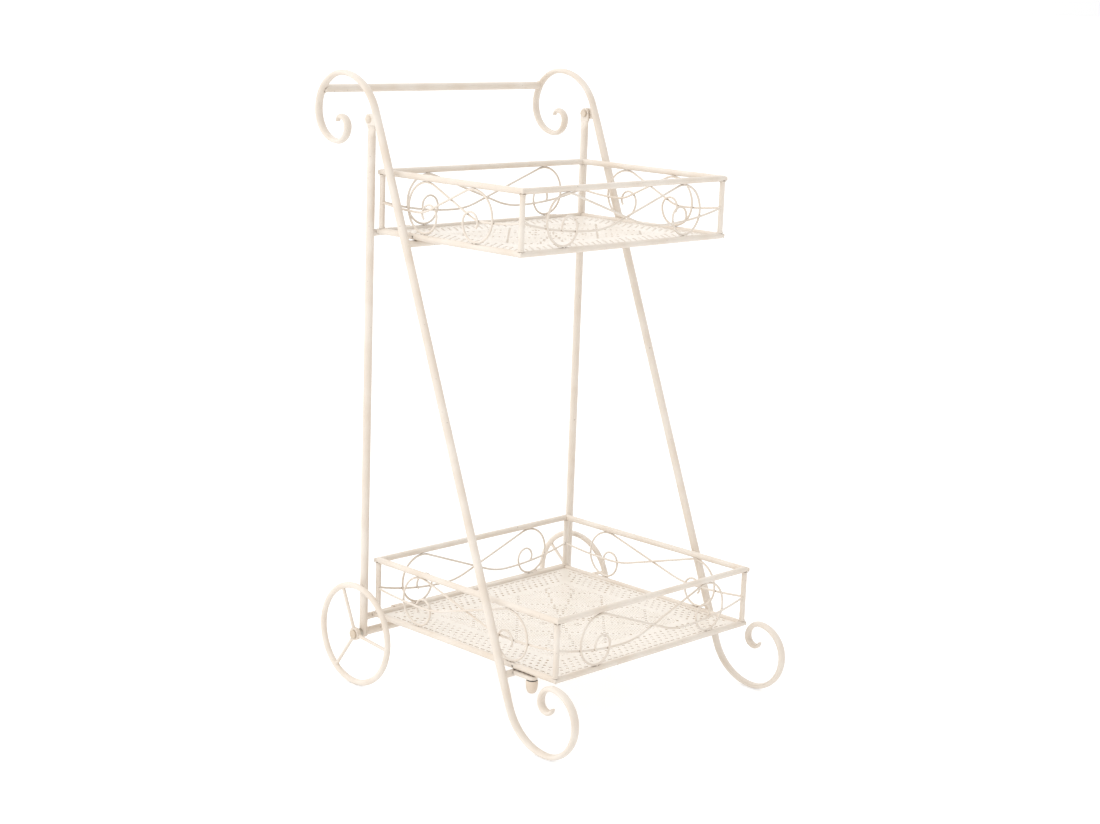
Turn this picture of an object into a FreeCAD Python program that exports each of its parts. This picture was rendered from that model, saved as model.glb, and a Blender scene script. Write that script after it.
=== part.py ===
import FreeCAD, Part
import math
import os

os.makedirs("parts", exist_ok=True)

# Folding flower cart: two S-shaped side bars with a handle and two legs with an
# axle make an A-frame, which carries two open trays. All sizes in millimetres.
# X runs across, Y from front to back, Z up. While the pieces are made, the legs
# stand at y = 0; save() moves everything so that the origin is under the middle.

# Frame as a whole
overall_height = 900.0
side_bar_x = 220.5
slant_deg = 21.1
pivot_drop = 66.0
pivot_setback = 17.5

# Side bars: round in the middle, flattened and rolled up at both ends
side_bar_d = 12.0
scroll_width = 13.0
scroll_thickness = 8.0
tip_width = 8.0
tip_thickness = 3.6
flatten_length = 42.0
scroll_radii = (78.0, 54.0, 44.0, 22.0, 14.0, 9.0)
last_curl_deg = 80.0
tip_sections = 6

# Handle bar between the two upper scrolls
handle_d = 12.0
handle_wall = 1.2
handle_rise_deg = 32.0

# Legs, crossbars and axle tube
leg_d = 12.0
leg_wall = 1.2
leg_below_axle = 6.0
crossbar_d = 10.0
crossbar_wall = 1.2
axle_tube_d = 12.0

# Pivot between a side bar's tab and a leg's flattened top
tab_thickness = 4.0
tongue_thickness = 4.0
eye_r = 8.0
pivot_gap = 0.3
pivot_bolt_d = 6.0
bolt_head_d = 11.5
bolt_head_height = 4.0
pivot_nut_flats = 10.0
pivot_nut_height = 3.4
tongue_length = 12.0
tongue_taper = 12.0

# Wheels, of bent rod, with a turned hub
wheel_r = 78.0
rim_rod_d = 9.0
spoke_d = 5.0
spoke_count = 3
left_spoke_deg = 66.0
right_spoke_deg = 40.0
hub_d = 19.0
hub_length = 6.0
axle_d = 8.0
washer_d = 13.0
cap_d = 13.0
cap_length = 2.6
cap_floor = 1.0
wheel_play = 0.2
wheel_gap = 0.5

# Trays
rail_d = 9.0
rail_wall = 1.0
post_d = 8.0
tray_wall_height = 84.0
floor_thickness = 0.8
floor_margin = 20.0
openings_across = 12
opening_share = 0.42
vent_hole_d = 3.0
upper_tray_z = 676.5
upper_tray_depth = 284.0
upper_tray_side_gap = 1.7
lower_tray_z = 104.0
lower_tray_depth = 372.0
lower_tray_side_gap = 7.7
rest_gap = 0.3

# Hinge loops of the trays on the rear crossbars
loop_wall = 2.0
loop_width = 16.0
loop_x = 150.0
hinge_drop = 3.0

# Scroll wires in the tray sides, two mirrored ones in each side
wire_d = 3.2
wire_start_height = 41.0
wire_spiral_radii = (38.0, 33.5, 25.0, 15.5, 14.0)
wire_tip_radius = 9.0
wire_tip_deg = 50.0
wave_share = 0.45
end_spiral_inset = 46.0
end_trough = (0.34, 23.5)
side_spiral_inset = 55.0
side_trough = (0.27, 35.0)

# Turn catch under the lower tray's left rail
latch_setback = 30.5
latch_width = 15.0
latch_thickness = 5.0
latch_gap = 0.5
latch_screw_d = 5.0
latch_washer_thickness = 1.6
latch_washer_d = 15.0
knob_d = 17.0
knob_height = 19.0
knob_round = 5.6
knob_thread_depth = 10.0

# Clearances of turning pieces, measured on the radius
running_fit = 0.05
fixed_fit = 0.05

# How far a cutting tool runs past a face, and how near counts as the same place
overcut = 1.0
same_place = 1e-6

# Values worked out from the ones above
pivot_height = overall_height - pivot_drop
slant = math.radians(slant_deg)
slant_tan = math.tan(slant)
leg_x = side_bar_x - (tab_thickness + tongue_thickness) / 2 - pivot_gap
leg_inner_x = leg_x - leg_d / 2
rim_centre_r = wheel_r - rim_rod_d / 2
axle_z = wheel_r
wheel_x = side_bar_x + scroll_width / 2 + wheel_gap + rim_rod_d / 2
hub_inner_x = wheel_x - hub_length / 2
hub_outer_x = wheel_x + hub_length / 2
cap_inner_x = hub_outer_x + wheel_play
axle_end_x = cap_inner_x + cap_length - cap_floor
axle_hole_d = axle_d + 2 * fixed_fit
tray_reach = crossbar_d / 2 + running_fit + loop_wall + rail_d / 2
rear_rail_y = -math.sqrt(tray_reach ** 2 - hinge_drop ** 2)

X_AXIS = FreeCAD.Vector(1, 0, 0)
Z_AXIS = FreeCAD.Vector(0, 0, 1)


def vec(x, y, z):
    return FreeCAD.Vector(x, y, z)


def rod(start, end, diameter):
    run = end - start
    return Part.makeCylinder(diameter / 2, run.Length, start, run)


def tube(start, end, diameter, wall):
    return rod(start, end, diameter).cut(rod(start, end, diameter - 2 * wall))


def both_sides(shape):
    """The shape and its mirror image across the middle plane, as two solids."""
    return Part.makeCompound([shape, shape.mirror(vec(0, 0, 0), X_AXIS)])


# A drawn outline is a chain of tangent lines and arcs in a plane. A move is
# either a length, straight ahead, or (radius, degrees), where positive degrees
# turn to the left. "place" turns the plane's two coordinates into a point.
def chain(start, heading, moves, place):
    edges = []
    u, v = start
    for move in moves:
        if isinstance(move, tuple):
            radius, turn_deg = move
            turn = math.radians(turn_deg)
            side = math.copysign(1.0, turn)
            centre_u = u - side * radius * math.sin(heading)
            centre_v = v + side * radius * math.cos(heading)
            points = [(u, v)]
            for share in (0.5, 1.0):
                angle = heading + share * turn
                points.append((centre_u + side * radius * math.sin(angle),
                               centre_v - side * radius * math.cos(angle)))
            edges.append(Part.Arc(*[place(*point) for point in points]).toShape())
            heading += turn
            u, v = points[-1]
        else:
            next_u = u + move * math.cos(heading)
            next_v = v + move * math.sin(heading)
            edges.append(Part.makeLine(place(u, v), place(next_u, next_v)))
            u, v = next_u, next_v
    return edges, (u, v), heading


# ---- Side bars ----
# The straight part passes in front of the pivot and leans back at the top. At
# each end the bar turns level, then rolls in through quarter turns of ever
# smaller radius: backwards at the top, forwards and up at the foot.
first_turn_deg = 90.0 - slant_deg
first_turn_rise = scroll_radii[0] * (1 - math.sin(slant))
straight_rise = overall_height - scroll_thickness - 2 * first_turn_rise
straight_length = straight_rise / math.cos(slant)
straight_top_z = overall_height - scroll_thickness / 2 - first_turn_rise
straight_foot_z = scroll_thickness / 2 + first_turn_rise


def side_bar_y(z):
    """Where the axis of the straight part is at a height."""
    return -pivot_setback + (z - pivot_height) * slant_tan


def oval(centre, heading, width, thickness, flatter="width"):
    """Cross-section of a bar, square to a heading in the Y-Z plane.

    The seam of the section lies at the end of its longer axis, and that of a
    round one where the flattened section that it joins has its own.
    """
    normal = vec(0, -math.sin(heading), math.cos(heading))
    if abs(width - thickness) < same_place:
        circle = Part.Circle(centre, vec(0, math.cos(heading), math.sin(heading)), width / 2)
        circle.XAxis = X_AXIS if flatter == "width" else normal
        return Part.Wire([circle.toShape()])
    across = X_AXIS * (width / 2)
    up = normal * (thickness / 2)
    if width < thickness:
        across, up = up, across * -1
    return Part.Wire([Part.Ellipse(centre + across, centre + up, centre).toShape()])


def scroll_end(start, heading, x):
    """One rolled end: the flattening, the even part and the hammered tip."""
    def place(y, z):
        return vec(x, y, z)

    back = (start[0] - flatten_length * math.cos(heading), start[1] - flatten_length * math.sin(heading))
    round_wire = oval(place(*back), heading, side_bar_d, side_bar_d)
    flat_wire = oval(place(*start), heading, scroll_width, scroll_thickness)
    pieces = [Part.makeLoft([round_wire, flat_wire], True, True)]

    turns = [(scroll_radii[0], -first_turn_deg)]
    turns += [(radius, -90.0) for radius in scroll_radii[1:-1]]
    edges, inner, inner_heading = chain(start, heading, turns, place)
    pieces.append(Part.Wire(edges).makePipeShell([flat_wire], True, True))

    sections = []
    for step in range(tip_sections + 1):
        share = step / tip_sections
        turn = [(scroll_radii[-1], -last_curl_deg * share)] if step else []
        point, turned = chain(inner, inner_heading, turn, place)[1:]
        width = scroll_width + (tip_width - scroll_width) * share
        thickness = scroll_thickness + (tip_thickness - scroll_thickness) * share
        sections.append(oval(place(*point), turned, width, thickness))
    pieces.append(Part.makeLoft(sections, True, False))
    return pieces


def side_bar(x):
    up = math.pi / 2 - slant
    top = (side_bar_y(straight_top_z), straight_top_z)
    foot = (side_bar_y(straight_foot_z), straight_foot_z)
    pieces = scroll_end(top, up, x) + scroll_end(foot, up + math.pi, x)
    along = vec(0, math.cos(up), math.sin(up)) * flatten_length
    middle = rod(vec(x, *foot) + along, vec(x, *top) - along, side_bar_d)
    return middle.multiFuse(pieces).removeSplitter()


def straight_rod(x):
    """The round part of a side bar as one long rod, to cope other pieces to."""
    return rod(vec(x, side_bar_y(0), 0), vec(x, side_bar_y(overall_height), overall_height), side_bar_d)


# The scroll's level turn ends at its highest point. Its second turn carries the
# handle, and its widest places set how deep the whole cart is.
top_of_scroll_y = side_bar_y(straight_top_z) + scroll_radii[0] * math.cos(slant)
foot_of_scroll_y = side_bar_y(straight_foot_z) - scroll_radii[0] * math.cos(slant)
second_turn_z = overall_height - scroll_thickness / 2 - scroll_radii[1]
back_y = top_of_scroll_y + scroll_radii[1] + scroll_thickness / 2
front_y = foot_of_scroll_y - scroll_radii[1] - scroll_thickness / 2
middle_y = (back_y + front_y) / 2


def save(name, shape):
    shape.translate(vec(0, -middle_y, 0))
    shape.exportStep("parts/" + name + ".step")
    print(name, len(shape.Solids), "solids", round(shape.Volume / 1000, 2), "cm3", shape.isValid())


# ---- Handle bar, coped and welded to the inner edges of the two scrolls ----
def handle_bar(bars):
    rise = math.radians(handle_rise_deg)
    y = top_of_scroll_y + scroll_radii[1] * math.cos(rise)
    z = second_turn_z + scroll_radii[1] * math.sin(rise)
    half = side_bar_x - scroll_width / 4
    handle = tube(vec(-half, y, z), vec(half, y, z), handle_d, handle_wall)
    return largest(handle.cut(bars).Solids)


# ---- Pivots ----
# A plate tab on each side bar lies outside the flattened top of the leg, and a
# bolt along X passes through both. Each plate is round about the bolt.
def eye_plate(x, thickness, arm_low, arm_high):
    """A plate square to X with its eye, and an arm between two (y, z) corners."""
    low_x = x - thickness / 2
    eye = Part.makeCylinder(eye_r, thickness, vec(low_x, 0, pivot_height), X_AXIS)
    arm = Part.makeBox(thickness, arm_high[0] - arm_low[0], arm_high[1] - arm_low[1], vec(low_x, *arm_low))
    hole_d = pivot_bolt_d + 2 * running_fit
    hole = rod(vec(x - thickness, 0, pivot_height), vec(x + thickness, 0, pivot_height), hole_d)
    return eye.fuse(arm).cut(hole)


def pivot_tab(x, bar):
    """The tab reaches from the eye to the side bar, and is coped to it."""
    low = (-pivot_setback, pivot_height - eye_r)
    plate = eye_plate(x, tab_thickness, low, (0, pivot_height + eye_r))
    return largest(plate.cut(bar).Solids)


def largest(solids):
    return max(solids, key=lambda solid: solid.Volume)


def rear_leg(x):
    tongue_foot_z = pivot_height - tongue_length
    tube_top_z = tongue_foot_z - tongue_taper
    foot_z = axle_z - leg_below_axle
    up = math.pi / 2
    round_wire = oval(vec(x, 0, tube_top_z), up, leg_d, leg_d, "thickness")
    flat_wire = oval(vec(x, 0, tongue_foot_z), up, tongue_thickness, 2 * eye_r)
    taper = Part.makeLoft([round_wire, flat_wire], True, True)
    shaft = rod(vec(x, 0, foot_z), vec(x, 0, tube_top_z), leg_d)
    tongue = eye_plate(x, tongue_thickness, (-eye_r, tongue_foot_z), (eye_r, pivot_height))
    leg = shaft.multiFuse([taper, tongue])
    bore = rod(vec(x, 0, foot_z), vec(x, 0, tube_top_z), leg_d - 2 * leg_wall)
    axle_hole = rod(vec(x - leg_d, 0, axle_z), vec(x + leg_d, 0, axle_z), axle_hole_d)
    return leg.cut(bore).cut(axle_hole)


def pivot_bolt():
    head_x = side_bar_x + tab_thickness / 2
    nut_x = leg_x - tongue_thickness / 2
    shank = rod(vec(nut_x - pivot_nut_height, 0, pivot_height), vec(head_x, 0, pivot_height), pivot_bolt_d)
    dome_r = (bolt_head_d ** 2 / 4 + bolt_head_height ** 2) / (2 * bolt_head_height)
    dome = Part.makeSphere(dome_r, vec(head_x + bolt_head_height - dome_r, 0, pivot_height))
    head = rod(vec(head_x, 0, pivot_height), vec(head_x + bolt_head_height, 0, pivot_height), bolt_head_d)
    return shank.fuse(head.common(dome))


def hex_nut(face_x, y, z, flats, height, bore_d):
    """A nut whose face is at face_x and which stands towards the middle."""
    corner_r = flats / math.sqrt(3)
    corners = []
    for index in range(7):
        angle = math.radians(60 * index)
        corners.append(vec(face_x, y + corner_r * math.cos(angle), z + corner_r * math.sin(angle)))
    block = Part.Face(Part.makePolygon(corners)).extrude(vec(-height, 0, 0))
    return block.cut(rod(vec(face_x + height, y, z), vec(face_x - 2 * height, y, z), bore_d))


# ---- Crossbars ----
# The rear ones are hinge bars between the legs. The front ones lie between the
# side bars and carry the trays' bottom rails.
def rear_crossbar_z(tray_z):
    return tray_z - hinge_drop


def front_crossbar_z(tray_z):
    return tray_z - rail_d / 2 - rest_gap - crossbar_d / 2


def rear_crossbar(z, diameter, wall):
    half = leg_inner_x + leg_d / 4
    bar = tube(vec(-half, 0, z), vec(half, 0, z), diameter, wall)
    for x in (-leg_x, leg_x):
        bar = bar.cut(rod(vec(x, 0, z - diameter), vec(x, 0, z + diameter), leg_d))
    return largest(bar.Solids)


def front_crossbar(tray_z):
    z = front_crossbar_z(tray_z)
    y = side_bar_y(z)
    half = side_bar_x - side_bar_d / 4
    bar = tube(vec(-half, y, z), vec(half, y, z), crossbar_d, crossbar_wall)
    bar = bar.cut(straight_rod(-side_bar_x)).cut(straight_rod(side_bar_x))
    return largest(bar.Solids)


# ---- Wheels ----
def hub(x):
    start = vec(x - hub_length / 2, 0, axle_z)
    end = vec(x + hub_length / 2, 0, axle_z)
    return tube(start, end, hub_d, (hub_d - axle_d) / 2 - running_fit)


def rim(x):
    return Part.makeTorus(rim_centre_r, rim_rod_d / 2, vec(x, 0, axle_z), X_AXIS)


def spokes(x, first_deg):
    centre = vec(x, 0, axle_z)
    half_hub = vec(hub_length / 2, 0, 0)
    solid_hub = rod(centre - half_hub, centre + half_hub, hub_d)
    bars = []
    for index in range(spoke_count):
        angle = math.radians(first_deg + 360.0 * index / spoke_count)
        out = vec(0, math.cos(angle), math.sin(angle))
        bar = rod(centre + out * axle_d / 2, centre + out * rim_centre_r, spoke_d)
        bars.append(largest(bar.cut(rim(x)).cut(solid_hub).Solids))
    return Part.makeCompound(bars)


def axle_washer():
    outer_x = hub_inner_x - wheel_play
    inner_x = leg_x + leg_d / 2
    washer = rod(vec(inner_x, 0, axle_z), vec(outer_x, 0, axle_z), washer_d)
    return washer.cut(rod(vec(inner_x - overcut, 0, axle_z), vec(outer_x + overcut, 0, axle_z), axle_hole_d))


def axle_cap():
    end_x = cap_inner_x + cap_length
    cap = rod(vec(cap_inner_x, 0, axle_z), vec(end_x, 0, axle_z), cap_d)
    end_edges = [edge for edge in cap.Edges if edge.BoundBox.XMin > end_x - same_place]
    cap = cap.makeFillet(cap_floor, end_edges)
    return cap.cut(rod(vec(cap_inner_x - overcut, 0, axle_z), vec(axle_end_x, 0, axle_z), axle_hole_d))


# ---- Trays ----
# Each tray is a rectangle of bottom rails and one of top rails, mitred at the
# corners, with posts between, a sheet floor and two scroll wires in each side.
class Tray:
    def __init__(self, z, depth, side_gap):
        self.half_x = leg_inner_x - side_gap - rail_d / 2
        self.back_y = rear_rail_y
        self.front_y = rear_rail_y - depth
        self.mid_y = (self.back_y + self.front_y) / 2
        self.half_y = depth / 2
        self.z = z
        self.top_z = z + tray_wall_height

    def rail(self, side, z):
        """One mitred rail. The sides are front, rear, left and right."""
        across = side in ("front", "rear")
        half = self.half_x if across else self.half_y
        r = rail_d / 2
        bar = tube(vec(-half - r, 0, 0), vec(half + r, 0, 0), rail_d, rail_wall)
        outline = [vec(-half - r, -r, -r), vec(half + r, -r, -r)]
        outline += [vec(half - r, r, -r), vec(-half + r, r, -r)]
        mitre = Part.Face(Part.makePolygon(outline + outline[:1])).extrude(vec(0, 0, rail_d))
        bar = bar.common(mitre)
        turn = {"front": 0, "right": 90, "rear": 180, "left": 270}[side]
        bar.rotate(vec(0, 0, 0), Z_AXIS, turn)
        spot = {
            "front": vec(0, self.front_y, z),
            "rear": vec(0, self.back_y, z),
            "left": vec(-self.half_x, self.mid_y, z),
            "right": vec(self.half_x, self.mid_y, z),
        }[side]
        bar.translate(spot)
        return bar

    def vent_holes(self):
        """Cutters for the vent holes in the side rails, above the front crossbar."""
        y = side_bar_y(front_crossbar_z(self.z))
        outside = vec(self.half_x + rail_d, y, self.z)
        return both_sides(rod(vec(self.half_x, y, self.z), outside, vent_hole_d))

    def posts(self):
        bars = []
        for x in (-self.half_x, self.half_x):
            for y in (self.front_y, self.back_y):
                post = rod(vec(x, y, self.z), vec(x, y, self.top_z), post_d)
                for z in (self.z, self.top_z):
                    post = post.cut(rod(vec(x - rail_d, y, z), vec(x + rail_d, y, z), rail_d))
                    post = post.cut(rod(vec(x, y - rail_d, z), vec(x, y + rail_d, z), rail_d))
                bars.append(largest(post.Solids))
        return Part.makeCompound(bars)

    def floor(self):
        half_x = self.half_x - rail_d / 2
        half_y = self.half_y - rail_d / 2
        corner = vec(-half_x, self.mid_y - half_y, self.z - floor_thickness / 2)
        sheet = Part.makeBox(2 * half_x, 2 * half_y, floor_thickness, corner)
        return sheet.cut(self.floor_openings(half_x - floor_margin, half_y - floor_margin))

    def floor_openings(self, half_x, half_y):
        """Cutters for the even grid of openings that stands for the pierced pattern."""
        pitch_x = 2 * half_x / openings_across
        pitch_y = 2 * half_y / openings_across
        width = opening_share * pitch_x
        length = opening_share * pitch_y
        cutters = []
        for row in range(openings_across):
            for column in range(openings_across):
                x = -half_x + (column + 0.5) * pitch_x - width / 2
                y = self.mid_y - half_y + (row + 0.5) * pitch_y - length / 2
                cutters.append(Part.makeBox(width, length, 2 * overcut, vec(x, y, self.z - overcut)))
        return Part.makeCompound(cutters)

    def wires(self, side):
        """Two wires of one side, side by side, each the mirror image of the other."""
        across = side in ("front", "rear")
        half = self.half_x if across else self.half_y
        inset = end_spiral_inset if across else side_spiral_inset
        trough = end_trough if across else side_trough
        walls = {"front": self.front_y, "rear": self.back_y, "left": -self.half_x, "right": self.half_x}
        fixed = walls[side]
        pair = []
        for flip in (1, -1):
            offset = fixed + flip * (wire_d / 2 + fixed_fit)

            def place(u, v):
                along = flip * (u - half)
                if across:
                    return vec(along, offset, self.z + v)
                return vec(offset, self.mid_y + along, self.z + v)

            pair.append(scroll_wire(2 * half, inset, trough, place))
        return Part.makeCompound(pair)

    def loops(self):
        z = rear_crossbar_z(self.z)
        outer_d = crossbar_d + 2 * running_fit + 2 * loop_wall
        low_x = loop_x - loop_width / 2
        high_x = loop_x + loop_width / 2
        loop = rod(vec(low_x, 0, z), vec(high_x, 0, z), outer_d)
        tongue = Part.makeBox(loop_width, -rear_rail_y, crossbar_d / 2, vec(low_x, rear_rail_y, z))
        loop = loop.fuse(tongue)
        loop = loop.cut(rod(vec(0, 0, z), vec(2 * loop_x, 0, z), crossbar_d + 2 * running_fit))
        loop = loop.cut(rod(vec(0, rear_rail_y, self.z), vec(2 * loop_x, rear_rail_y, self.z), rail_d))
        return both_sides(largest(loop.Solids))


def scroll_wire(width, inset, trough, place):
    """A wire from one post through a trough, up to the top rail and into a curl."""
    start_u = post_d / 2
    trough_u = trough[0] * width
    trough_v = trough[1]
    first_r = wire_spiral_radii[0]
    top_u = width - inset - first_r
    top_centre_v = tray_wall_height - rail_d / 2 - wire_d / 2 - first_r
    drop = wire_start_height - trough_v
    entry_r = ((trough_u - start_u) ** 2 + drop ** 2) / (2 * drop)
    entry_turn = math.asin((trough_u - start_u) / entry_r)
    run = top_u - trough_u
    climb = top_centre_v - trough_v
    trough_r = wave_share * (run ** 2 + climb ** 2 - first_r ** 2) / (2 * (climb + first_r))
    reach = math.hypot(run, climb - trough_r)
    slope = math.atan2(climb - trough_r, run) + math.asin((trough_r + first_r) / reach)
    straight = math.sqrt(reach ** 2 - (trough_r + first_r) ** 2)
    slope_deg = math.degrees(slope)
    moves = [(entry_r, math.degrees(entry_turn)), (trough_r, slope_deg), straight]
    moves.append((first_r, -90.0 - slope_deg))
    moves += [(radius, -90.0) for radius in wire_spiral_radii[1:]]
    moves.append((wire_tip_radius, -wire_tip_deg))
    edges = chain((start_u, wire_start_height), -entry_turn, moves, place)[0]
    path = Part.Wire(edges)
    first = edges[0]
    begin = first.valueAt(first.FirstParameter)
    if begin.distanceToPoint(place(start_u, wire_start_height)) > same_place:
        begin = first.valueAt(first.LastParameter)
    ahead = place(start_u + math.cos(entry_turn), wire_start_height - math.sin(entry_turn)) - begin
    section = Part.Wire([Part.makeCircle(wire_d / 2, begin, ahead)])
    return path.makePipeShell([section], True, True)


upper_tray = Tray(upper_tray_z, upper_tray_depth, upper_tray_side_gap)
lower_tray = Tray(lower_tray_z, lower_tray_depth, lower_tray_side_gap)


# ---- Turn catch ----
# A strap under the lower tray's left rail turns on a screw. Its back end stands
# in front of the front crossbar and stops the A-frame from spreading.
latch_x = -lower_tray.half_x
crossbar_face_y = side_bar_y(front_crossbar_z(lower_tray_z)) - crossbar_d / 2
latch_y = crossbar_face_y - latch_setback
rail_bottom_z = lower_tray_z - rail_d / 2
strap_top_z = rail_bottom_z - latch_gap
strap_bottom_z = strap_top_z - latch_thickness
washer_bottom_z = strap_bottom_z - latch_washer_thickness
knob_bottom_z = washer_bottom_z - knob_height
screw_end_z = washer_bottom_z - knob_thread_depth


def latch_screw(extra):
    top = vec(latch_x, latch_y, lower_tray_z)
    return rod(vec(latch_x, latch_y, screw_end_z), top, latch_screw_d + 2 * extra)


def latch_strap():
    end_r = latch_setback - latch_gap
    corner = vec(latch_x - latch_width / 2, latch_y, strap_bottom_z)
    plate = Part.makeBox(latch_width, end_r, latch_thickness, corner)
    reach = Part.makeCylinder(end_r, latch_thickness, vec(latch_x, latch_y, strap_bottom_z))
    front = Part.makeCylinder(latch_width / 2, latch_thickness, vec(latch_x, latch_y, strap_bottom_z))
    return plate.common(reach).fuse(front).removeSplitter().cut(latch_screw(running_fit))


def latch_washer():
    middle = vec(latch_x, latch_y, washer_bottom_z)
    disc = Part.makeCylinder(latch_washer_d / 2, latch_washer_thickness, middle)
    return disc.cut(latch_screw(running_fit))


def knob():
    body = Part.makeCylinder(knob_d / 2, knob_height, vec(latch_x, latch_y, knob_bottom_z))
    low_edges = [edge for edge in body.Edges if abs(edge.BoundBox.ZMax - knob_bottom_z) < same_place]
    body = body.makeFillet(knob_round, low_edges)
    return body.cut(latch_screw(running_fit))


# ---- Making every piece ----
left_bar = side_bar(-side_bar_x)
right_bar = side_bar(side_bar_x)
save("handle_bar", handle_bar([left_bar, right_bar]))
save("pivot_tab_left", pivot_tab(-side_bar_x, left_bar))
save("pivot_tab_right", pivot_tab(side_bar_x, right_bar))
save("side_bar_left", left_bar)
save("side_bar_right", right_bar)
save("upper_front_crossbar", front_crossbar(upper_tray_z))
save("lower_front_crossbar", front_crossbar(lower_tray_z))

save("rear_leg_left", rear_leg(-leg_x))
save("rear_leg_right", rear_leg(leg_x))
save("upper_rear_crossbar", rear_crossbar(rear_crossbar_z(upper_tray_z), crossbar_d, crossbar_wall))
save("lower_rear_crossbar", rear_crossbar(rear_crossbar_z(lower_tray_z), crossbar_d, crossbar_wall))
save("axle_tube", rear_crossbar(axle_z, axle_tube_d, (axle_tube_d - axle_d) / 2 - fixed_fit))
save("axle_rod", rod(vec(-axle_end_x, 0, axle_z), vec(axle_end_x, 0, axle_z), axle_d))
save("axle_washers", both_sides(axle_washer()))
save("axle_caps", both_sides(axle_cap()))
save("pivot_bolts", both_sides(pivot_bolt()))
nut_face_x = leg_x - tongue_thickness / 2
nut_bore_d = pivot_bolt_d + 2 * fixed_fit
pivot_nut = hex_nut(nut_face_x, 0, pivot_height, pivot_nut_flats, pivot_nut_height, nut_bore_d)
save("pivot_nuts", both_sides(pivot_nut))

for side, x, first_deg in (("left", -wheel_x, left_spoke_deg), ("right", wheel_x, right_spoke_deg)):
    save("wheel_rim_" + side, rim(x))
    save("wheel_spokes_" + side, spokes(x, first_deg))
    save("wheel_hub_" + side, hub(x))

for level, tray in (("upper", upper_tray), ("lower", lower_tray)):
    for side in ("front", "rear", "left", "right"):
        bottom_rail = tray.rail(side, tray.z)
        if side in ("left", "right"):
            bottom_rail = bottom_rail.cut(tray.vent_holes())
        if tray is lower_tray and side == "left":
            bottom_rail = bottom_rail.cut(latch_screw(fixed_fit))
        save(level + "_bottom_rail_" + side, bottom_rail)
        save(level + "_top_rail_" + side, tray.rail(side, tray.top_z))
        save(level + "_wires_" + side, tray.wires(side))
    save(level + "_posts", tray.posts())
    save(level + "_floor", tray.floor())
    save(level + "_hinge_loops", tray.loops())

save("latch_screw", latch_screw(0))
save("latch_strap", latch_strap())
save("latch_washer", latch_washer())
save("latch_knob", knob())

# Where the joints are in the finished frame
print("legs, pivots, hinges and axle at y", round(-middle_y, 3))
print("pivot z", pivot_height, "axle z", axle_z, "wheel x", wheel_x)
print("tray hinge z", rear_crossbar_z(upper_tray_z), rear_crossbar_z(lower_tray_z))
print("latch axis", round(latch_x, 3), round(latch_y - middle_y, 3), "z", round(strap_bottom_z, 3))
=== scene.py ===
import bmesh
import bpy
import math
from mathutils import Matrix, Vector, noise


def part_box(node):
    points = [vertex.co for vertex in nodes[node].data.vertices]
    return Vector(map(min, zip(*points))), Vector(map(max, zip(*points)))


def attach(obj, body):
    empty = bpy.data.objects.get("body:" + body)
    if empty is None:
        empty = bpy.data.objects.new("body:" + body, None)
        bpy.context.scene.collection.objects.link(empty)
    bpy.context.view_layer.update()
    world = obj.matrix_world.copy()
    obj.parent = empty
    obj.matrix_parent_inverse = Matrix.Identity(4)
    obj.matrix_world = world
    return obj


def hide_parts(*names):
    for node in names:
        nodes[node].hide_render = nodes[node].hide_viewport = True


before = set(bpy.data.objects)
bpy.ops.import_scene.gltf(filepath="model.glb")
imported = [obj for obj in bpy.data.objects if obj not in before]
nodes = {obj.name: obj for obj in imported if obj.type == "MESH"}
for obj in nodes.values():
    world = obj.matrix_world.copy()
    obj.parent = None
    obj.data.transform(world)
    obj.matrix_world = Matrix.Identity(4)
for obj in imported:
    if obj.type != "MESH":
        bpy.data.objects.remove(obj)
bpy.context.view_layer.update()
MM = 0.001


# ---- Enamelled bars, tubes and wires: both frames, wheels and tray sides ----
# Steel bar, tube and wire, sprayed antique cream and stove-enamelled. Brown is
# painted into the corners as painted shade, standing also for a wiped glaze, and into pinholes.
def linear(hex_colour):
    """The linear colour of an sRGB hex value."""
    channels = [int(hex_colour[start:start + 2], 16) / 255 for start in (1, 3, 5)]
    return [c / 12.92 if c <= 0.04045 else ((c + 0.055) / 1.055) ** 2.4 for c in channels] + [1.0]


def add(material, kind, settings=(), links=()):
    """Adds a node with its settings, and feeds its sockets from other nodes' outputs."""
    node = material.node_tree.nodes.new(kind)
    for key, value in dict(settings).items():
        if key in node.inputs:
            node.inputs[key].default_value = value
        else:
            setattr(node, key, value)
    for socket, source in dict(links).items():
        material.node_tree.links.new(source, node.inputs[socket])
    return node


def blank_material(name):
    """A new material with nothing but its output, and that output."""
    material = bpy.data.materials.new(name)
    material.use_nodes = True
    material.node_tree.nodes.clear()
    return material, material.node_tree.nodes.new("ShaderNodeOutputMaterial")


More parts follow.
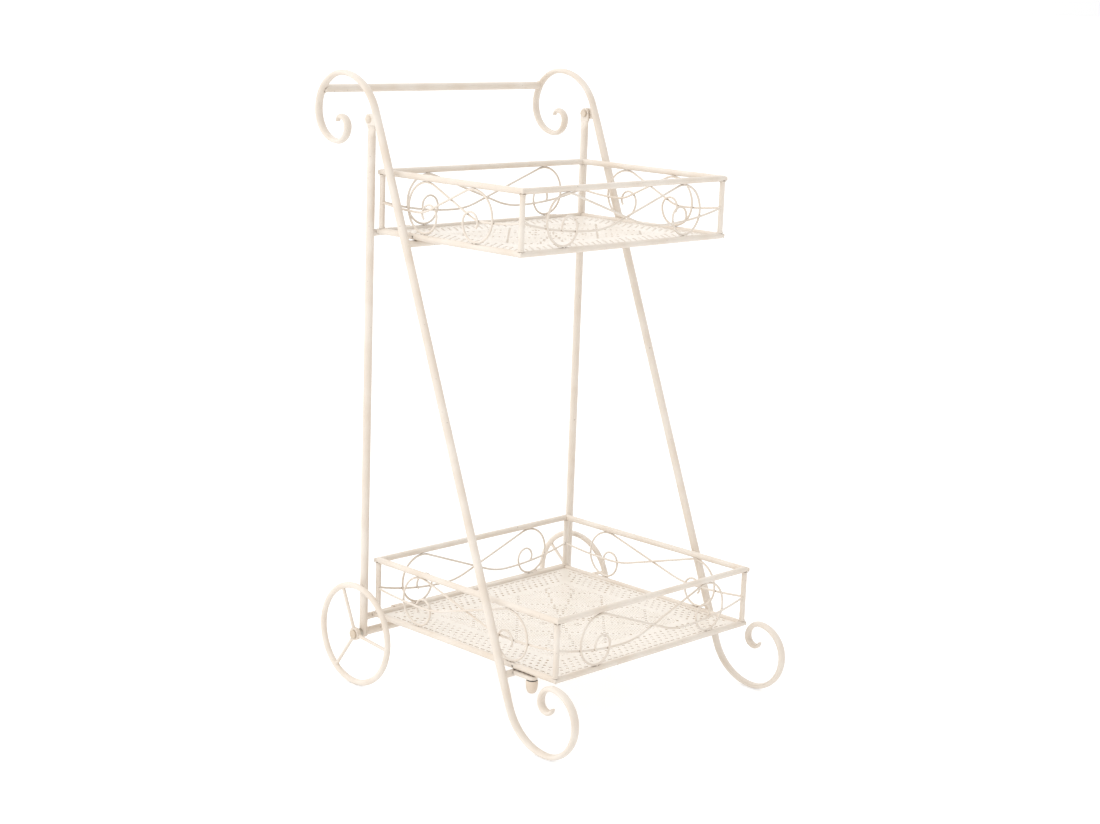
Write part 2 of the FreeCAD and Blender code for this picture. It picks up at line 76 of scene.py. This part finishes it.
def enamel(name, cream, warm_cream, glaze_and_corner_shade, painted_shade_share):
    """Stove enamel in two creams, with the share of painted shade in its corners, which stands also for a
    glaze.

    The eye gets a satin cream with cloudy warmer places some 45 mm wide, a thin
    brown line of painted shade in each corner, brown pinholes and a faint orange peel.
    The real peel is under 1 mm wide, and is drawn 1.5 mm wide so that it shows.
    """
    material, output = blank_material(name)
    place = add(material, "ShaderNodeTexCoord").outputs["Object"]
    clouds = add(material, "ShaderNodeTexNoise", {"Scale": 22.0, "Detail": 3.0}, {"Vector": place})
    clouded = add(
        material, "ShaderNodeMapRange", {"From Min": 0.35, "From Max": 0.7}, {"Value": clouds.outputs["Fac"]},
    )
    sprayed = add(
        material, "ShaderNodeMix",
        {"data_type": "RGBA", "A": linear(cream), "B": linear(warm_cream)},
        {"Factor": clouded.outputs["Result"]},
    )
    shade_patches = add(material, "ShaderNodeTexNoise", {"Scale": 130.0, "Detail": 3.0}, {"Vector": place})
    uneven_shade_share = add(
        material, "ShaderNodeMapRange",
        {"From Min": 0.35, "From Max": 0.62, "To Min": 0.25 * painted_shade_share, "To Max": painted_shade_share},
        {"Value": shade_patches.outputs["Fac"]},
    )
    # Painted shade: brown grows where ambient occlusion finds other surfaces within 4 mm, in corners and gaps
    # between parts, made patchy by a noise.
    corner = add(material, "ShaderNodeAmbientOcclusion", {"samples": 8, "Distance": 4.0 * MM})
    painted_corner_shade = add(
        material, "ShaderNodeMapRange",
        {"From Min": 0.25, "From Max": 0.72, "To Max": 0.0},
        {"Value": corner.outputs["AO"], "To Min": uneven_shade_share.outputs["Result"]},
    )
    corner_shaded = add(
        material, "ShaderNodeMix",
        {"data_type": "RGBA", "B": linear(glaze_and_corner_shade)},
        {"Factor": painted_corner_shade.outputs["Result"], "A": sprayed.outputs[2]},
    )
    pits = add(material, "ShaderNodeTexNoise", {"Scale": 260.0, "Detail": 1.0}, {"Vector": place})
    pinholes = add(
        material, "ShaderNodeMapRange",
        {"From Min": 0.76, "From Max": 0.8, "To Max": 0.5},
        {"Value": pits.outputs["Fac"]},
    )
    coloured = add(
        material, "ShaderNodeMix",
        {"data_type": "RGBA", "B": linear(glaze_and_corner_shade)},
        {"Factor": pinholes.outputs["Result"], "A": corner_shaded.outputs[2]},
    )
    peel = add(material, "ShaderNodeTexNoise", {"Scale": 650.0, "Detail": 2.0}, {"Vector": place})
    bump = add(
        material, "ShaderNodeBump", {"Strength": 0.3, "Distance": 0.08 * MM}, {"Height": peel.outputs["Fac"]},
    )
    shader = add(
        material, "ShaderNodeBsdfPrincipled",
        {"Roughness": 0.38, "IOR": 1.5},
        {"Base Color": coloured.outputs[2], "Normal": bump.outputs["Normal"]},
    )
    material.node_tree.links.new(shader.outputs["BSDF"], output.inputs["Surface"])
    return material


# 6F573F is both the painted shade in the corners and the colour of the pinholes.
cream_enamel = enamel("cream_stove_enamel", "#DED5CA", "#D6C9BA", "#6F573F", 0.8)
for node in nodes.values():
    node.data.materials.clear()
    node.data.materials.append(cream_enamel)


# ---- Axle rod with its spacers, and the bolts, nuts, caps and catch screw ----
# The rod and the spacers are drawn steel with a dull zinc coat. The rest is
# fitted before spraying, so the cream is thin on it, and it gets the painted corner shade at full share.
def zinc_coated(name):
    """Zinc on drawn steel: a grey sheen with fine lines along the rod."""
    material, output = blank_material(name)
    place = add(material, "ShaderNodeTexCoord").outputs["Object"]
    along = add(material, "ShaderNodeMapping", {"Scale": (40.0, 1500.0, 1500.0)}, {"Vector": place})
    lines = add(
        material, "ShaderNodeTexNoise", {"Scale": 1.0, "Detail": 2.0}, {"Vector": along.outputs["Vector"]},
    )
    tone = add(
        material, "ShaderNodeMix",
        {"data_type": "RGBA", "A": linear("#A8A297"), "B": linear("#C6C0B4")},
        {"Factor": lines.outputs["Fac"]},
    )
    bump = add(
        material, "ShaderNodeBump", {"Strength": 0.3, "Distance": 0.03 * MM}, {"Height": lines.outputs["Fac"]},
    )
    shader = add(
        material, "ShaderNodeBsdfPrincipled",
        {"Metallic": 1.0, "Roughness": 0.42},
        {"Base Color": tone.outputs[2], "Normal": bump.outputs["Normal"]},
    )
    material.node_tree.links.new(shader.outputs["BSDF"], output.inputs["Surface"])
    return material


zinc = zinc_coated("zinc_coated_drawn_steel")
for name in ("axle_rod", "axle_washers"):
    nodes[name].data.materials[0] = zinc
thin_enamel = enamel("thin_enamel_on_fasteners", "#D2C5B5", "#C4B39E", "#5C452F", 1.0)
for name in ("pivot_bolts", "pivot_nuts", "axle_caps", "latch_screw"):
    nodes[name].data.materials[0] = thin_enamel


# ---- Pierced floor sheets of the two trays ----
# 0.8 mm steel sheet, punched before enamelling: a row of slots at the edge, a lace
# band of round holes in staggered rows, a plain strip, and a fine sieve with dotted
# leaf lines in it. The pattern is laid out in cells of about 3 mm.
HOLE_R = 2.1 * MM
PUNCH_RIM = 0.6 * MM
# Sizes of the pattern in cells: the row of slots, and the rows of the band, each
# two cells wide, with the cells by which a row is shifted along the rail
SLOT_ROW = 2
BAND_ROWS = {5: 0, 6: 0, 8: 2, 9: 2, 11: 0, 12: 0, 14: 2, 15: 2}
HOLE_PITCH = 4
SCALLOP_ROWS = (14, 15)
SCALLOP_PITCH = 16
SCALLOP_GAPS = (6, 10)
FIELD_EDGE = 20
# Sizes of the leaf lines in blocks of 2 by 2 cells: how far apart the crossing
# lines are, how long a leaf is, and how fast it opens and closes again
LINE_PITCH = 15
LEAF_LENGTH = 44
LEAF_OPENING = 0.157
LEAF_CLOSING = 0.42
# The fine sieve: a hole in every third cell of a row, shifted from row to row, and
# the place of its own enamel in the sheet's list, with its lighter hole walls next
SIEVE_PITCH = 3
SIEVE_MATERIAL = 2


def new_piece(name, mesh, body, slot, *materials):
    """Makes an object of a mesh, with its materials, that rides on a body of the cart."""
    data = bpy.data.meshes.new(name)
    mesh.to_mesh(data)
    mesh.free()
    for material in materials:
        data.materials.append(material)
    piece = bpy.data.objects.new(name, data)
    bpy.context.scene.collection.objects.link(piece)
    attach(piece, body)
    return piece


def band_hole(edge, run, cells):
    """The middle of the band's hole at a cell, as (edge, run) in cells, or None.

    edge counts from the nearest rail, and run goes along that rail.
    """
    if edge not in BAND_ROWS:
        return None
    shifted = run + BAND_ROWS[edge]
    middle_run = shifted // HOLE_PITCH * HOLE_PITCH + HOLE_PITCH // 2 - BAND_ROWS[edge]
    middle_edge = edge if edge - 1 in BAND_ROWS else edge + 1
    between = shifted % HOLE_PITCH in (0, HOLE_PITCH - 1)
    near_corner = min(middle_run, cells - middle_run) < middle_edge + 3
    in_gap = edge in SCALLOP_ROWS and (middle_run - cells // 2) % SCALLOP_PITCH in SCALLOP_GAPS
    return None if between or near_corner or in_gap else (middle_edge, middle_run)


def in_leaf_line(across, along):
    """Whether a block of 2 by 2 cells in the sieve is a round hole, counted from the middle."""
    off_diagonal = abs(across - along)
    outward = across + along
    leaf = round(min(LEAF_OPENING * outward, LEAF_CLOSING * (LEAF_LENGTH - outward)))
    crossing = outward in (LINE_PITCH - 1, 2 * LINE_PITCH - 1, 3 * LINE_PITCH - 1)
    cluster = min(across, along) == 0 and max(across, along) in (5, 6)
    return off_diagonal in (leaf, LINE_PITCH, 2 * LINE_PITCH) or crossing or cluster


def floor_sheet(level, cells_across, cells_along):
    """Punches one floor sheet. The numbers of cells are multiples of 4."""
    low, high = (Vector(corner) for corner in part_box(level + "_floor"))
    size = high - low
    mesh = bmesh.new()
    bmesh.ops.create_grid(
        mesh, x_segments=cells_across, y_segments=cells_along, size=0.5,
        matrix=Matrix.Translation(size / 2) @ Matrix.Diagonal((size.x, size.y, 1.0, 1.0)),
    )
    cell = Vector((size.x / cells_across, size.y / cells_along, 0.0))
    slots, sieve, round_holes = [], [], {}
    for face in mesh.faces:
        spot = face.calc_center_median()
        column, row = int(spot.x / cell.x), int(spot.y / cell.y)
        to_side = min(column, cells_across - 1 - column)
        to_end = min(row, cells_along - 1 - row)
        edge = min(to_side, to_end)
        by_side = to_side < to_end
        run, cells = (row, cells_along) if by_side else (column, cells_across)
        hole = band_hole(edge, run, cells)
        if hole:
            inward, middle_run = hole
            if by_side:
                inward = inward if column < cells_across / 2 else cells_across - inward
                middle = Vector((inward * cell.x, middle_run * cell.y, 0.0))
            else:
                inward = inward if row < cells_along / 2 else cells_along - inward
                middle = Vector((middle_run * cell.x, inward * cell.y, 0.0))
            round_holes.setdefault("band", []).append((face, middle))
        elif edge == SLOT_ROW and run % HOLE_PITCH and max(to_side, to_end) > 5:
            slots.append(face)
        elif edge >= FIELD_EDGE:
            across = abs(2 * column + 1 - cells_across) // 4
            along = abs(2 * row + 1 - cells_along) // 4
            if in_leaf_line(across, along):
                middle = Vector(((column // 2 * 2 + 1) * cell.x, (row // 2 * 2 + 1) * cell.y, 0.0))
                round_holes.setdefault((column // 2 % 2, row // 2 % 2), []).append((face, middle))
            else:
                face.material_index = SIEVE_MATERIAL
                if (column + row) % SIEVE_PITCH == 0:
                    sieve.append(face)

    bmesh.ops.inset_region(mesh, faces=slots, thickness=PUNCH_RIM, use_even_offset=True)
    bmesh.ops.inset_individual(mesh, faces=sieve, thickness=PUNCH_RIM, use_even_offset=True)
    punched = slots + sieve
    for group in round_holes.values():
        bmesh.ops.inset_region(mesh, faces=[face for face, middle in group], thickness=PUNCH_RIM)
        for face, middle in group:
            punched.append(face)
            for vert in face.verts:
                away = vert.co - middle - Vector((0.0, 0.0, size.z / 2))
                if away.length > PUNCH_RIM:
                    vert.co += away.normalized() * HOLE_R - away
    bmesh.ops.delete(mesh, geom=punched, context="FACES")
    bmesh.ops.translate(mesh, verts=mesh.verts, vec=low)
    sheet = new_piece(
        level + "_floor_sheet", mesh, level + "_tray", "pierced_sheet",
        sheet_enamel, shaded_hole_walls, sheet_enamel, sieve_walls,
    )
    wall = sheet.modifiers.new("sheet_thickness", "SOLIDIFY")
    wall.thickness = size.z
    wall.offset = 0.0
    wall.material_offset_rim = 1
    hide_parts(level + "_floor")


# The walls of the slots, round holes and leaf-line holes are painted a darker brown, as painted shade in the
# holes. The walls of the fine holes get only a light painted shade.
sheet_enamel = enamel("cream_enamel_on_sheet", "#E6DFD6", "#E1D9CE", "#7A6148", 0.6)
shaded_hole_walls = enamel("round_hole_walls_painted_shade", "#B8A388", "#A18B70", "#6F573F", 0.8)
sieve_walls = enamel("enamel_in_fine_holes", "#E3D8CA", "#DACDBC", "#8F7759", 0.3)
floor_sheet("upper", 132, 92)
floor_sheet("lower", 128, 120)


# ---- Welds of the front and rear frames ----
# The handle, the crossbars, the axle tube and the pivot tabs are gas-welded before
# enamelling. Each joint has a lumpy bead about 2 mm wide, laid by hand.
BEAD_R = 1.15 * MM
LUMPS_PER_METRE = 420.0
X, Y, Z = Vector((1, 0, 0)), Vector((0, 1, 0)), Vector((0, 0, 1))


def middle_of(name):
    low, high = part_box(name)
    return (Vector(low) + Vector(high)) / 2


def roughen(mesh, first, amount):
    """Makes the newest vertices of a weld uneven."""
    for vert in list(mesh.verts)[first:]:
        vert.co += noise.noise_vector(vert.co * LUMPS_PER_METRE) * amount


def ring_weld(mesh, place, out, bar_line, tube_r, bar_r, bar_depth=None):
    """A bead round the end of a tube that runs `out` of a bar, from the bar's surface.

    The bar has the radius bar_r across the tube, and bar_depth along it. A flat
    seat has a bar_r of 0.
    """
    first = len(mesh.verts)
    side = out.cross(bar_line).normalized()
    turn = Matrix((out, side, out.cross(side))).transposed().to_4x4()
    bead = bmesh.ops.create_circle(
        mesh, segments=8, radius=BEAD_R, matrix=Matrix.Translation(place + side * tube_r) @ turn,
    )["verts"]
    edges = list({edge for vert in bead for edge in vert.link_edges})
    bmesh.ops.spin(mesh, geom=bead + edges, cent=place, axis=out, angle=math.tau, steps=28, use_merge=True)
    if bar_r:
        depth = bar_depth or bar_r
        for vert in list(mesh.verts)[first:]:
            share = min(1.0, abs((vert.co - place).dot(side)) / bar_r)
            vert.co -= out * min(depth * (1.0 - math.sqrt(1.0 - share ** 2)), depth / 2)
    roughen(mesh, first, 0.45 * MM)


def tack(mesh, place, radius, stretch=(1.0, 1.0, 1.0)):
    """A small blob of weld."""
    first = len(mesh.verts)
    matrix = Matrix.Translation(place) @ Matrix.Diagonal(stretch).to_4x4()
    bmesh.ops.create_icosphere(mesh, subdivisions=2, radius=radius, matrix=matrix)
    roughen(mesh, first, 0.3 * radius)


def seam_weld(mesh, start, end, radius):
    """A row of overlapping blobs from one point to another."""
    count = max(2, round((end - start).length / radius))
    for index in range(count + 1):
        tack(mesh, start.lerp(end, index / count), radius)


def weld_piece(name, mesh, body):
    bmesh.ops.recalc_face_normals(mesh, faces=mesh.faces)
    for face in mesh.faces:
        face.smooth = True
    new_piece(name, mesh, body, "cream_enamel", cream_enamel)


def bar_point(name, height):
    """Where the straight part of a side bar is at a height, from its slant of 21.1 degrees."""
    tab = middle_of("lower_front_crossbar")
    return Vector((middle_of(name).x, tab.y + (height - tab.z) * math.tan(BAR_SLANT), height))


BAR_SLANT = math.radians(21.1)
BAR_R = 6.0 * MM
HANDLE_R = 6.0 * MM
CROSSBAR_R = 5.0 * MM
SCROLL_HALF_WIDTH = 6.5 * MM
SCROLL_HALF_DEPTH = 4.0 * MM
SCROLL_LINE_AT_HANDLE = Vector((0, -0.53, 0.85))
slanted = Vector((0.0, math.sin(BAR_SLANT), math.cos(BAR_SLANT)))

mesh = bmesh.new()
handle = middle_of("handle_bar")
for side in (-1, 1):
    bar_x = side * middle_of("side_bar_right").x
    scroll_edge = Vector((bar_x - side * SCROLL_HALF_WIDTH, handle.y, handle.z))
    ring_weld(
        mesh, scroll_edge, -side * X, SCROLL_LINE_AT_HANDLE, HANDLE_R, SCROLL_HALF_DEPTH, SCROLL_HALF_WIDTH,
    )
    for rise in (-1, 1):
        filled = Vector((bar_x - side * 3.6 * MM, handle.y + rise * 4.2 * MM, handle.z + rise * 2.6 * MM))
        tack(mesh, filled, 2.4 * MM)
    for crossbar in ("upper_front_crossbar", "lower_front_crossbar"):
        joint = middle_of(crossbar) + side * X * (abs(bar_x) - BAR_R)
        ring_weld(mesh, joint, -side * X, slanted, CROSSBAR_R, BAR_R)
    low, high = (Vector(corner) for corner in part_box("pivot_tab_left" if side < 0 else "pivot_tab_right"))
    for height in (low.z + 1.5 * MM, high.z - 1.5 * MM):
        edge = bar_point("side_bar_right", height)
        edge.x = bar_x
        tack(mesh, edge + Y * BAR_R, 1.9 * MM)
    for face_x in (bar_x - 2.2 * MM, bar_x + 2.2 * MM):
        foot = bar_point("side_bar_right", low.z + 1.0 * MM) + Y * 5.9 * MM
        head = bar_point("side_bar_right", high.z - 1.0 * MM) + Y * 5.9 * MM
        foot.x = head.x = face_x
        seam_weld(mesh, foot, head, 1.1 * MM)
weld_piece("front_frame_welds", mesh, "front_frame")

mesh = bmesh.new()
for side in (-1, 1):
    leg_x = side * middle_of("rear_leg_right").x
    for crossbar, tube_r in (("upper_rear_crossbar", 5.0), ("lower_rear_crossbar", 5.0), ("axle_tube", 6.0)):
        joint = middle_of(crossbar) + side * X * (abs(leg_x) - BAR_R)
        ring_weld(mesh, joint, -side * X, Z, tube_r * MM, BAR_R)
weld_piece("rear_frame_welds", mesh, "rear_frame")


# ---- Welds of the trays ----
# Rails are mitred and tacked at the corners, posts are welded in between, and each
# scroll wire is tacked to a post, to the top rail and to the bottom rail. Short
# seams hold the floor sheet to the rails, and the hinge loops to the rear rail.
RAIL_R = 4.5 * MM
POST_R = 4.0 * MM
WIRE_START = 41.0 * MM
WIRE_PEAK = {"end": 84.0 * MM, "side": 93.0 * MM}
WIRE_OFFSET = 1.65 * MM
SEAM_PLACES = (0.12, 0.37, 0.63, 0.88)
SEAM_LENGTH = 8.0 * MM
LOOP_WIDTH = 16.0 * MM

for level in ("upper", "lower"):
    mesh = bmesh.new()
    low, high = (Vector(corner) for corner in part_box(level + "_posts"))
    sheet_z = middle_of(level + "_floor").z
    top_z = middle_of(level + "_top_rail_front").z
    post_xs = (low.x + POST_R, high.x - POST_R)
    post_ys = (low.y + POST_R, high.y - POST_R)
    tray_middle = Vector((sum(post_xs) / 2, sum(post_ys) / 2, 0))
    for x in post_xs:
        for y in post_ys:
            out_x = math.copysign(1, x - tray_middle.x)
            out_y = math.copysign(1, y - tray_middle.y)
            ring_weld(mesh, Vector((x, y, sheet_z + RAIL_R + 0.2 * MM)), Z, X, POST_R, 0.0)
            ring_weld(mesh, Vector((x, y, top_z - RAIL_R - 0.2 * MM)), -Z, X, POST_R, 0.0)
            for rail_z in (sheet_z, top_z):
                corner = Vector((x + out_x * 4.3 * MM, y + out_y * 4.3 * MM, rail_z))
                tack(mesh, corner, 1.7 * MM, (0.8, 0.8, 2.2))
    sides = (("end", X, Y, post_xs, post_ys), ("side", Y, X, post_ys, post_xs))
    for kind, line, across, ends, fixed in sides:
        for wall in fixed:
            for flip, start, ahead in ((1, ends[0], 1), (-1, ends[1], -1)):
                wall_line = across * (wall + flip * WIRE_OFFSET)
                other = ends[1] if ahead > 0 else ends[0]
                begin = line * (start + ahead * POST_R) + wall_line + Z * (sheet_z + WIRE_START)
                tack(mesh, begin, 2.1 * MM, (1.0, 1.0, 0.8))
                peak = line * (other - ahead * WIRE_PEAK[kind]) + wall_line
                tack(mesh, peak + Z * (top_z - RAIL_R), 2.0 * MM, (1.4, 1.4, 0.6))
                tack(mesh, peak + line * ahead * 4.5 * MM + Z * (sheet_z + RAIL_R + 0.6 * MM), 1.8 * MM)
    for x in (-1, 1):
        for share in SEAM_PLACES:
            y = low.y + share * (high.y - low.y)
            start = Vector((x * (high.x - POST_R - RAIL_R), y - SEAM_LENGTH / 2, sheet_z + 0.5 * MM))
            seam_weld(mesh, start, start + Y * SEAM_LENGTH, 1.0 * MM)
    for y, inward in ((post_ys[0], 1), (post_ys[1], -1)):
        for share in SEAM_PLACES:
            x = low.x + share * (high.x - low.x)
            start = Vector((x - SEAM_LENGTH / 2, y + inward * RAIL_R, sheet_z + 0.5 * MM))
            seam_weld(mesh, start, start + X * SEAM_LENGTH, 1.0 * MM)
    loop_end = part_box(level + "_hinge_loops")[1][0]
    for x in (-1, 1):
        start = Vector((x * loop_end, post_ys[1] + 4.2 * MM, sheet_z + 2.0 * MM))
        seam_weld(mesh, start, start - X * x * LOOP_WIDTH, 1.2 * MM)
    weld_piece(level + "_tray_welds", mesh, level + "_tray")


# ---- Welds of the wheels ----
# Each wheel is a bent rod, closed with a weld, with three spokes welded in between
# the rim and a short turned hub. The beads are small and sit on both ends.
SPOKE_R = 2.5 * MM
RIM_MIDDLE = 73.5 * MM
RIM_ROD_R = 4.5 * MM
HUB_R = 9.5 * MM
for side, first_angle in (("left", 66.0), ("right", 40.0)):
    mesh = bmesh.new()
    centre = middle_of("wheel_rim_" + side)
    for index in range(3):
        angle = math.radians(first_angle + 120.0 * index)
        out = Vector((0.0, math.cos(angle), math.sin(angle)))
        around = X.cross(out)
        ring_weld(mesh, centre + out * (RIM_MIDDLE - RIM_ROD_R), -out, around, SPOKE_R, RIM_ROD_R)
        ring_weld(mesh, centre + out * HUB_R, out, X, SPOKE_R, HUB_R)
    weld_piece("wheel_" + side + "_welds", mesh, "wheel_" + side)


# ---- Knob and washer of the turn catch ----
# The knob is beige plastic, moulded in one piece with a rounded, slightly tapered
# skirt. A black rubber washer keeps it from turning by itself.
def moulded_plastic(name):
    """Moulded plastic: a matt, even beige with a faint grain of 1 mm."""
    material, output = blank_material(name)
    place = add(material, "ShaderNodeTexCoord").outputs["Object"]
    flow = add(material, "ShaderNodeTexNoise", {"Scale": 90.0, "Detail": 2.0}, {"Vector": place})
    tone = add(
        material, "ShaderNodeMix",
        {"data_type": "RGBA", "A": linear("#DBCDBD"), "B": linear("#D0BFAC")},
        {"Factor": flow.outputs["Fac"]},
    )
    grain = add(material, "ShaderNodeTexNoise", {"Scale": 1000.0, "Detail": 1.0}, {"Vector": place})
    bump = add(
        material, "ShaderNodeBump", {"Strength": 0.2, "Distance": 0.05 * MM}, {"Height": grain.outputs["Fac"]},
    )
    shader = add(
        material, "ShaderNodeBsdfPrincipled",
        {"Roughness": 0.48, "IOR": 1.46},
        {"Base Color": tone.outputs[2], "Normal": bump.outputs["Normal"]},
    )
    material.node_tree.links.new(shader.outputs["BSDF"], output.inputs["Surface"])
    return material


def rubber(name):
    """Cut rubber sheet: near black and matt, with dust in its grain."""
    material, output = blank_material(name)
    place = add(material, "ShaderNodeTexCoord").outputs["Object"]
    dust = add(material, "ShaderNodeTexNoise", {"Scale": 500.0, "Detail": 3.0}, {"Vector": place})
    tone = add(
        material, "ShaderNodeMix",
        {"data_type": "RGBA", "A": linear("#1B1917"), "B": linear("#37322D")},
        {"Factor": dust.outputs["Fac"]},
    )
    bump = add(
        material, "ShaderNodeBump", {"Strength": 0.3, "Distance": 0.06 * MM}, {"Height": dust.outputs["Fac"]},
    )
    shader = add(
        material, "ShaderNodeBsdfPrincipled",
        {"Roughness": 0.72, "IOR": 1.52},
        {"Base Color": tone.outputs[2], "Normal": bump.outputs["Normal"]},
    )
    material.node_tree.links.new(shader.outputs["BSDF"], output.inputs["Surface"])
    return material


nodes["latch_washer"].data.materials[0] = rubber("black_rubber_sheet")

# Radius and height of the knob's outline in mm, from its bore to its rounded end
KNOB_PROFILE = (
    (3.0, 0.0), (7.9, 0.0), (8.5, -0.7), (8.4, -7.0), (7.9, -11.5), (6.6, -15.6), (4.6, -18.0), (2.2, -18.9),
)
low, high = (Vector(corner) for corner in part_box("latch_knob"))
knob_top = Vector(((low.x + high.x) / 2, (low.y + high.y) / 2, high.z))
mesh = bmesh.new()
outline = [mesh.verts.new(knob_top + Vector((radius, 0, drop)) * MM) for radius, drop in KNOB_PROFILE]
edges = [mesh.edges.new(pair) for pair in zip(outline, outline[1:])]
bmesh.ops.spin(mesh, geom=outline + edges, cent=knob_top, axis=Z, angle=math.tau, steps=32, use_merge=True)
bmesh.ops.holes_fill(mesh, edges=[edge for edge in mesh.edges if edge.is_boundary])
bmesh.ops.recalc_face_normals(mesh, faces=mesh.faces)
for face in mesh.faces:
    face.smooth = True
knob = new_piece("catch_knob", mesh, "latch", "beige_plastic", moulded_plastic("moulded_beige_plastic"))
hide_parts("latch_knob")


# ---- Floor, light and camera ----
# A white acrylic sweep, lit from below as for shop photographs, so the cart's
# shadow stays faint. A light tent is brighter on the left and overhead, and one
# softbox on the left gives the bars their glint.
bpy.ops.mesh.primitive_circle_add(vertices=64, radius=150, fill_type="NGON")
floor = bpy.context.object
floor.name = "studio_floor"
acrylic, output = blank_material("white_acrylic")
shader = add(
    acrylic, "ShaderNodeBsdfPrincipled",
    {
        "Base Color": linear("#BCBCBC"), "Roughness": 0.9,
        "Emission Color": (1, 1, 1, 1), "Emission Strength": 0.6,
    },
)
acrylic.node_tree.links.new(shader.outputs["BSDF"], output.inputs["Surface"])
floor.data.materials.append(acrylic)

scene = bpy.context.scene
scene.view_settings.view_transform = "Standard"
tent = bpy.data.worlds.new("light_tent")
scene.world = tent
tent.use_nodes = True
inward = add(tent, "ShaderNodeTexCoord").outputs["Generated"]
toward_light = add(tent, "ShaderNodeVectorMath", {"operation": "DOT_PRODUCT"}, {0: inward})
toward_light.inputs[1].default_value = (-0.35, 0.6, 0.72)
brightness = add(
    tent, "ShaderNodeMapRange", {"From Min": -1.0, "To Min": 0.4, "To Max": 1.6},
    {"Value": toward_light.outputs["Value"]},
)
background = tent.node_tree.nodes["Background"]
background.inputs["Color"].default_value = (1, 1, 1, 1)
tent.node_tree.links.new(brightness.outputs["Result"], background.inputs["Strength"])

target = Vector((0.0919, 0.0963, 0.3855))
key_data = bpy.data.lights.new("key", "AREA")
key_data.size = 1.4
key_data.energy = 11.0
key = bpy.data.objects.new("key", key_data)
scene.collection.objects.link(key)
key.location = (-2.9, 0.3, 2.2)
key.rotation_euler = (target - key.location).to_track_quat("-Z", "Y").to_euler()

azimuth = math.radians(-45.5)
elevation = math.radians(12.1)
distance = 3.0756
roll = math.radians(2.1)
back = Vector((
    math.sin(azimuth) * math.cos(elevation), -math.cos(azimuth) * math.cos(elevation), math.sin(elevation),
))
camera_data = bpy.data.cameras.new("camera")
camera_data.sensor_fit = "HORIZONTAL"
camera_data.sensor_width = 36.0
camera_data.lens = 65.43
camera = bpy.data.objects.new("camera", camera_data)
scene.collection.objects.link(camera)
camera.rotation_mode = "QUATERNION"
camera.location = target + back * distance
camera.rotation_quaternion = (-back).to_track_quat("-Z", "Y") @ Matrix.Rotation(roll, 4, "Z").to_quaternion()
scene.camera = camera
